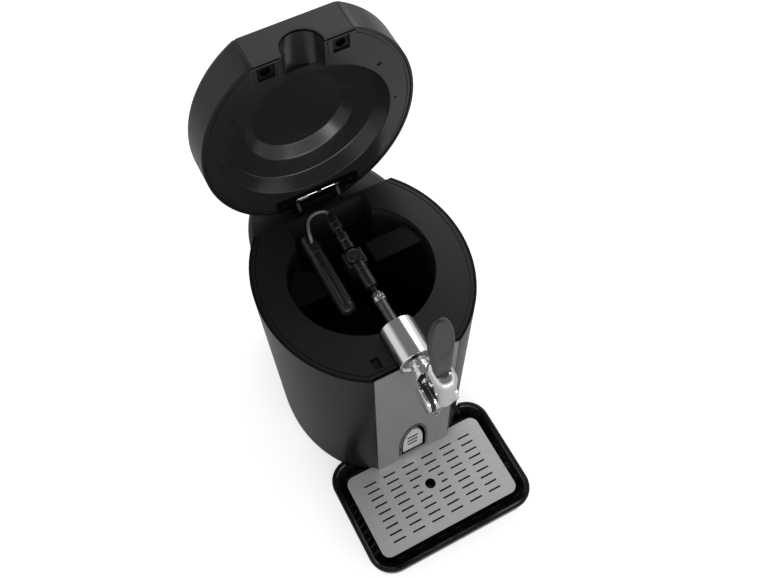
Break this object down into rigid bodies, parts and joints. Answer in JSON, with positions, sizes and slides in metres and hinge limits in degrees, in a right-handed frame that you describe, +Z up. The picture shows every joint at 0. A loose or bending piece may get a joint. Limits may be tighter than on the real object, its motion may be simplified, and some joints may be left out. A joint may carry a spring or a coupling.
{
  "type": "mini keg beer dispenser",
  "caption": "Counter-top cooler and tap for a mini keg, with its lid open, a drip tray in front and the keg coupler across the chamber's mouth.",
  "frame": {"origin": "middle of the footprint on the surface it stands on", "axes": "+Z up, -Y towards the tap and the drip tray, +X to the right seen from the front"},
  "size_m": [0.2698, 0.4494, 0.6062],
  "materials": {
    "black_plastic": "satin",
    "gloss_black": "gloss",
    "front_block": "satin",
    "handle_plastic": "satin",
    "grey_plastic": "satin",
    "rubber": "matte",
    "foam": "foam",
    "dark_steel": "brushed",
    "steel": "brushed",
    "chrome": "polished",
    "aluminium": "satin",
    "ceramic": "matte",
    "board": "satin",
    "clear_tube": "clear"
  },
  "bodies": {
    "base": {"base_plate": "black_plastic", "body_shell": "black_plastic", "top_ring": "black_plastic", "chamber_liner": "black_plastic", "rear_housing": "black_plastic", "rear_grille": "black_plastic", "button_bezel": "black_plastic", "button_switch": "black_plastic", "coupler_cap": "black_plastic", "coupler_gas_fitting": "black_plastic", "coupler_beer_fitting": "black_plastic", "gas_head": "black_plastic", "power_inlet": "grey_plastic", "fan_frame": "grey_plastic", "coupler_body": "grey_plastic", "gas_sleeve": "grey_plastic", "foot_1": "rubber", "foot_2": "rubber", "foot_3": "rubber", "foot_4": "rubber", "shank_ring": "rubber", "valve_seal": "rubber", "insulation_jacket": "foam", "front_panel": "dark_steel", "hinge_bracket": "dark_steel", "strike_left": "steel", "strike_right": "steel", "hinge_pin": "steel", "hinge_spring": "steel", "gas_cartridge": "steel", "gas_bracket": "steel", "keg_ledge": "steel", "outlet_stem": "steel", "hose_clamp": "steel", "tap_tower": "chrome", "tap_shank": "chrome", "valve_body": "chrome", "valve_cap": "chrome", "spout": "chrome", "cold_plate": "aluminium", "heat_sink": "aluminium", "thermoelectric_module": "ceramic", "power_board": "board", "beer_tube": "clear_tube", "gas_hose": "clear_tube"},
    "lid": {"lid_shell": "black_plastic", "lid_front_block": "front_block", "lid_liner": "black_plastic", "lid_hinge_leaf": "dark_steel", "lid_magnet_left": "steel", "lid_magnet_right": "steel"},
    "tap_lever": {"lever_hub": "chrome", "tap_handle": "handle_plastic", "lever_pin": "steel", "valve_spindle": "steel"},
    "button": {"front_button": "steel"},
    "fan": {"fan_rotor": "black_plastic"},
    "tray": {"drip_tray": "gloss_black", "drip_plate": "steel"}
  },
  "joints": [
    {"name": "lid_hinge", "type": "hinge", "parent": "base", "child": "lid", "pos_m": [0, 0.18465, 0.3361], "axis": [1, 0, 0], "range_deg": [0, 87.7]},
    {"name": "tap_pivot", "type": "hinge", "parent": "base", "child": "tap_lever", "pos_m": [0, -0.13025, 0.331], "axis": [1, 0, 0], "range_deg": [0, 45]},
    {"name": "button_push", "type": "slide", "parent": "base", "child": "button", "axis": [0, 1, 0], "range_m": [0, 0.003], "stiffness_N_per_m": 400, "springref_m": -0.001},
    {"name": "fan_spin", "type": "hinge", "parent": "base", "child": "fan", "pos_m": [0, 0.20275, 0.16], "axis": [0, 1, 0], "continuous": true},
    {"name": "tray_slide", "type": "slide", "parent": "base", "child": "tray", "axis": [0, -1, 0], "range_m": [0, 0.1]}
  ]
}
